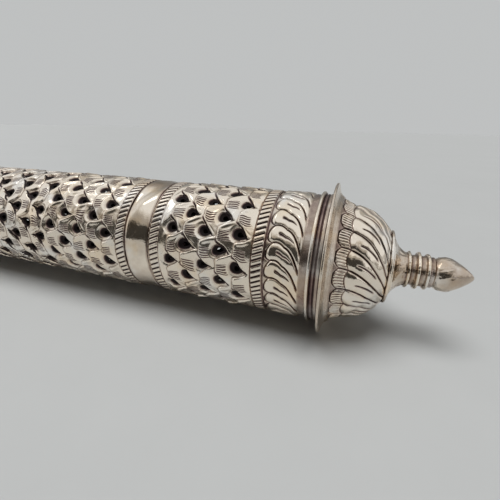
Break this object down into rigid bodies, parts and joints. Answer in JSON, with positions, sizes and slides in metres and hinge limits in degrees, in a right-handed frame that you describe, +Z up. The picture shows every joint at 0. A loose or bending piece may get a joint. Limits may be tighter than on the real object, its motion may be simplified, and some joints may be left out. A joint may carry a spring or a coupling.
{
  "type": "scroll holder",
  "caption": "Round silver scroll case lying on its side, pierced and chased with fish scales, with a domed cap and finial on each end that pulls off.",
  "frame": {"origin": "on the ground under the middle of the tube, centred between the two cap rims it stands on", "axes": "+X along the tube towards the right cap, +Z up, +Y to the back"},
  "size_m": [0.3002, 0.05, 0.0501],
  "materials": {
    "polished_silver": "hand-polished silver, softly worn",
    "chased_silver": "chased and pierced silver, bright on the high parts and tarnished in the recesses",
    "dark_silver": "tarnished silver"
  },
  "bodies": {
    "tube": {"pierced_sleeve_middle": "chased_silver", "plain_band_left": "polished_silver", "border_inner_left": "chased_silver", "border_outer_left": "chased_silver", "pierced_sleeve_left": "chased_silver", "leaf_band_left": "chased_silver", "border_leaf_left": "chased_silver", "mouth_moulding_left": "dark_silver", "plain_band_right": "polished_silver", "border_inner_right": "chased_silver", "border_outer_right": "chased_silver", "pierced_sleeve_right": "chased_silver", "leaf_band_right": "chased_silver", "border_leaf_right": "chased_silver", "mouth_moulding_right": "dark_silver"},
    "cap_left": {"cap_rim_left": "polished_silver", "cap_bezel_left": "dark_silver", "cap_dome_left": "chased_silver", "finial_collar_left": "polished_silver", "finial_left": "polished_silver", "finial_washer_left": "dark_silver", "finial_nut_left": "dark_silver"},
    "cap_right": {"cap_rim_right": "polished_silver", "cap_bezel_right": "dark_silver", "cap_dome_right": "chased_silver", "finial_collar_right": "polished_silver", "finial_right": "polished_silver", "finial_washer_right": "dark_silver", "finial_nut_right": "dark_silver"}
  },
  "joints": [
    {"name": "cap_right_pull", "type": "slide", "parent": "tube", "child": "cap_right", "axis": [1, 0, 0], "range_m": [0, 0.05]},
    {"name": "cap_left_pull", "type": "slide", "parent": "tube", "child": "cap_left", "axis": [-1, 0, 0], "range_m": [0, 0.05]}
  ]
}
